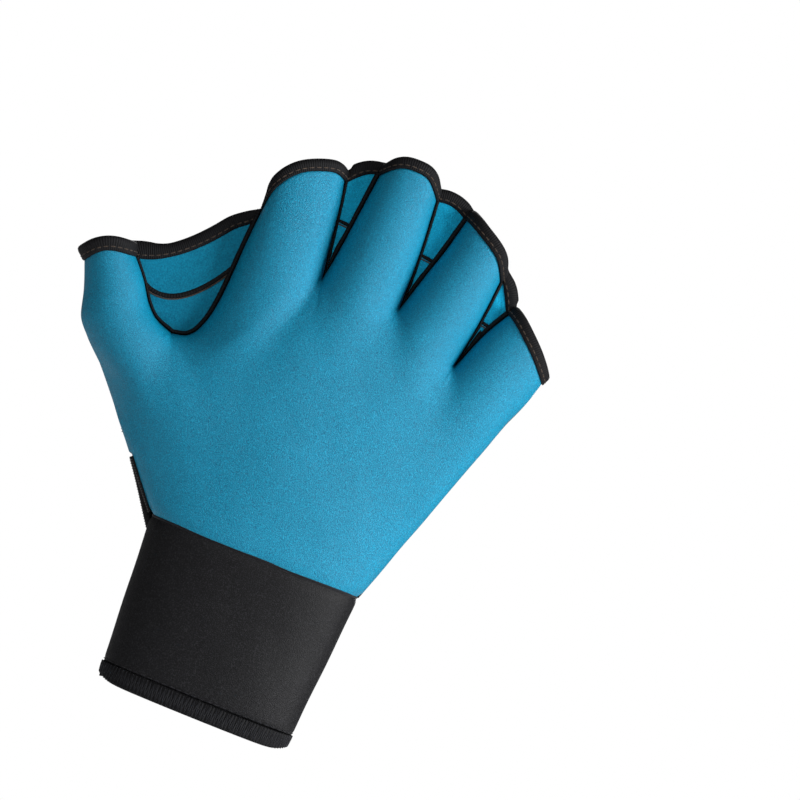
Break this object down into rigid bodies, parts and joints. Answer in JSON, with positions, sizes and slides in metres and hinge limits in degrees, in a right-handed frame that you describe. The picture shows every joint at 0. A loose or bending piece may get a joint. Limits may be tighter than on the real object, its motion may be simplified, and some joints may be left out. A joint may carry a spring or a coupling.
{
  "type": "webbed swim glove",
  "caption": "Fingerless webbed glove for swimming and water exercise: short open finger tubes joined by webs, with a wrist cuff closed by a strap.",
  "frame": {"origin": "centre of the wrist opening at the hem of the cuff, where the glove sits on the wrist", "axes": "+Z from the wrist to the fingers, -Y out of the back of the hand, -X towards the thumb"},
  "size_m": [0.1832, 0.0414, 0.2283],
  "materials": {
    "back_cloth": "matt knitted face on foam, bright blue",
    "web_cloth": "matt knitted face on foam, blue to the back and charcoal to the palm",
    "palm_cloth": "matt charcoal knit with a fine speckle",
    "cuff_cloth": "matt black knitted face on foam",
    "strap_cloth": "matt black brushed loop face on foam",
    "edge_cloth": "ribbed charcoal edge binding and overlock thread"
  },
  "bodies": {
    "root": {"back_panel": "back_cloth", "palm_panel": "palm_cloth", "web_lower_thumb": "web_cloth", "web_upper_thumb": "web_cloth", "web_seam_thumb": "edge_cloth", "web_binding_thumb": "edge_cloth", "notch_edging_thumb": "edge_cloth", "web_lower_index": "web_cloth", "web_upper_index": "web_cloth", "web_seam_index": "edge_cloth", "web_binding_index": "edge_cloth", "notch_edging_index": "edge_cloth", "web_lower_middle": "web_cloth", "web_upper_middle": "web_cloth", "web_seam_middle": "edge_cloth", "web_binding_middle": "edge_cloth", "notch_edging_middle": "edge_cloth", "web_lower_ring": "web_cloth", "web_upper_ring": "web_cloth", "web_seam_ring": "edge_cloth", "web_binding_ring": "edge_cloth", "notch_edging_ring": "edge_cloth", "mouth_binding_thumb": "edge_cloth", "mouth_binding_index": "edge_cloth", "mouth_binding_middle": "edge_cloth", "mouth_binding_ring": "edge_cloth", "mouth_binding_little": "edge_cloth", "cuff_band": "cuff_cloth", "cuff_hem": "cuff_cloth", "strap": "strap_cloth", "strap_binding": "edge_cloth", "back_slit_binding": "edge_cloth", "palm_slit_binding": "edge_cloth"}
  },
  "joints": []
}
